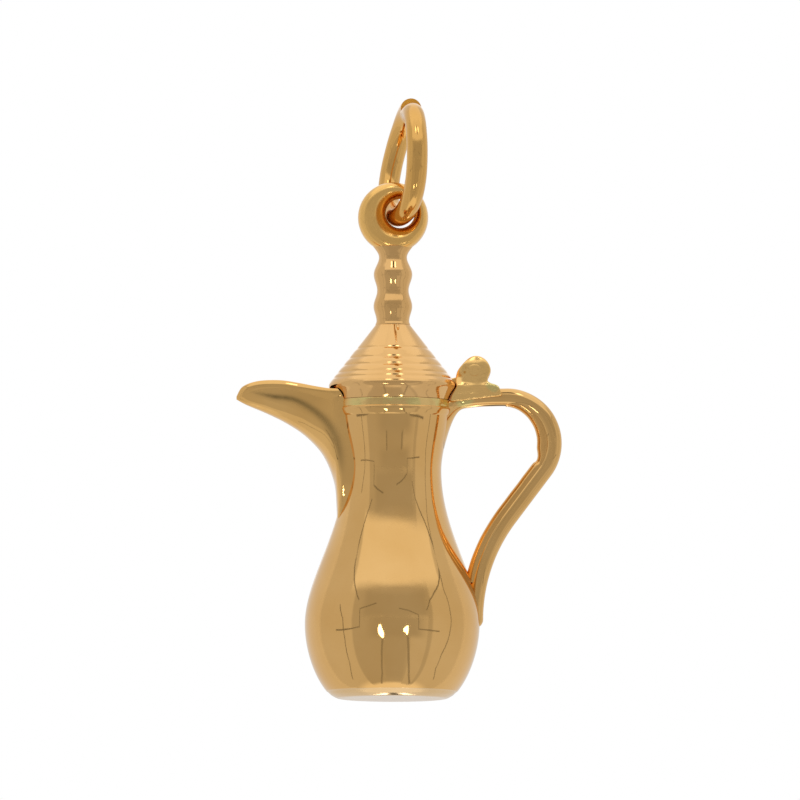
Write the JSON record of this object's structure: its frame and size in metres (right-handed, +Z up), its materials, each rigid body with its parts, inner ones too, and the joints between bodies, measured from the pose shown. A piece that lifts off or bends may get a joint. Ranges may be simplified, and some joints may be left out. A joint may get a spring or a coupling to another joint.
{
  "type": "dallah coffee pot charm",
  "caption": "Gold charm shaped as an Arabic dallah coffee pot, with a hinged cone lid, beak spout, looped handle and a jump ring in the finial's loop.",
  "frame": {"origin": "centre of the pot's flat base", "axes": "+Z up along the pot's axis, -X towards the spout's tip, +X towards the handle, so the hinge pin and the hole of the loop lie along Y"},
  "size_m": [0.0154, 0.0082, 0.0286],
  "materials": {
    "gold": "mirror-polished yellow gold of the cast pot",
    "lid_gold": "polished yellow gold of the lid, finial and loop",
    "seam_gold": "paler, less polished gold beside the lid's seam",
    "rib_gold": "polished gold of the handle's inner ribs",
    "hinge_gold": "softly polished gold of the hinge",
    "ring_gold": "drawn and polished gold wire"
  },
  "bodies": {
    "pot": {"pot_body": "gold", "base_plate": "gold", "mouth_collar": "seam_gold", "spout": "gold", "handle_rod": "gold", "handle_upper_rib": "rib_gold", "handle_lower_rib": "rib_gold", "hinge_fork": "hinge_gold", "hinge_pin": "hinge_gold"},
    "lid": {"lid_cone": "lid_gold", "lid_flange": "seam_gold", "lid_hinge_strap": "hinge_gold", "finial": "lid_gold", "suspension_loop": "lid_gold"},
    "ring": {"jump_ring": "ring_gold"}
  },
  "joints": [
    {"name": "lid_hinge", "type": "hinge", "parent": "pot", "child": "lid", "pos_m": [0.00388, 0, 0.01558], "axis": [0, 1, 0], "range_deg": [0, 100]},
    {"name": "jump_ring_swing", "type": "hinge", "parent": "lid", "child": "ring", "pos_m": [0.00033, 0, 0.0231], "axis": [0, 1, 0], "range_deg": [-155, 150]}
  ]
}
